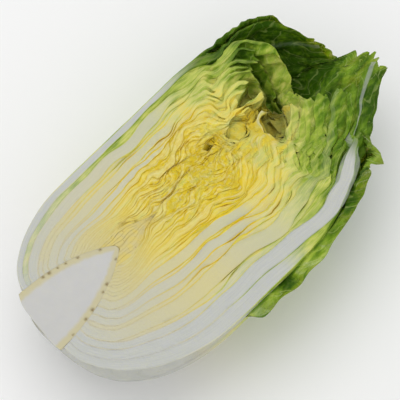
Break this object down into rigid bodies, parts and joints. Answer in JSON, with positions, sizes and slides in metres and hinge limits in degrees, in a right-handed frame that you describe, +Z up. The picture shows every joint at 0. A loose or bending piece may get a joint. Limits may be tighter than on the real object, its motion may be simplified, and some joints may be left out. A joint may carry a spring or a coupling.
{
  "type": "napa cabbage half",
  "caption": "Half of a napa cabbage cut lengthwise, cut face up: nested leaves with thick white ribs round a white core and a yellow heart.",
  "frame": {"origin": "middle of the underside of the part's box, on the surface it lies on", "axes": "+Z up, out of the cut face; +Y along the head's axis from the stem to the leaf tips; +X across the cut face"},
  "size_m": [0.1636, 0.3056, 0.0742],
  "materials": {
    "core": null,
    "wrapper_leaf": null,
    "head_leaf": null,
    "heart_leaf": null
  },
  "bodies": {
    "root": {"core": "core", "heart_bud": "heart_leaf", "wrapper_leaf_1": "wrapper_leaf", "wrapper_leaf_2": "wrapper_leaf", "wrapper_leaf_3": "wrapper_leaf", "wrapper_leaf_4": "wrapper_leaf", "head_leaf_1": "head_leaf", "head_leaf_2": "head_leaf", "head_leaf_3": "head_leaf", "head_leaf_4": "head_leaf", "head_leaf_5": "head_leaf", "head_leaf_6": "head_leaf", "head_leaf_7": "head_leaf", "head_leaf_8": "head_leaf", "head_leaf_9": "head_leaf", "head_leaf_10": "head_leaf", "head_leaf_11": "head_leaf", "head_leaf_12": "head_leaf", "head_leaf_13": "head_leaf", "head_leaf_14": "head_leaf", "head_leaf_15": "head_leaf", "head_leaf_16": "head_leaf", "head_leaf_17": "head_leaf", "head_leaf_18": "head_leaf", "heart_leaf_1": "heart_leaf", "heart_leaf_2": "heart_leaf", "heart_leaf_3": "heart_leaf", "heart_leaf_4": "heart_leaf", "heart_leaf_5": "heart_leaf", "heart_leaf_6": "heart_leaf", "heart_leaf_7": "heart_leaf", "heart_leaf_8": "heart_leaf", "heart_leaf_9": "heart_leaf", "heart_leaf_10": "heart_leaf", "heart_leaf_11": "heart_leaf", "heart_leaf_12": "heart_leaf", "heart_leaf_13": "heart_leaf", "heart_leaf_14": "heart_leaf", "heart_leaf_15": "heart_leaf", "heart_leaf_16": "heart_leaf", "heart_leaf_17": "heart_leaf", "heart_leaf_18": "heart_leaf", "heart_leaf_19": "heart_leaf", "heart_leaf_20": "heart_leaf", "heart_leaf_21": "heart_leaf", "heart_leaf_22": "heart_leaf"}
  },
  "joints": []
}
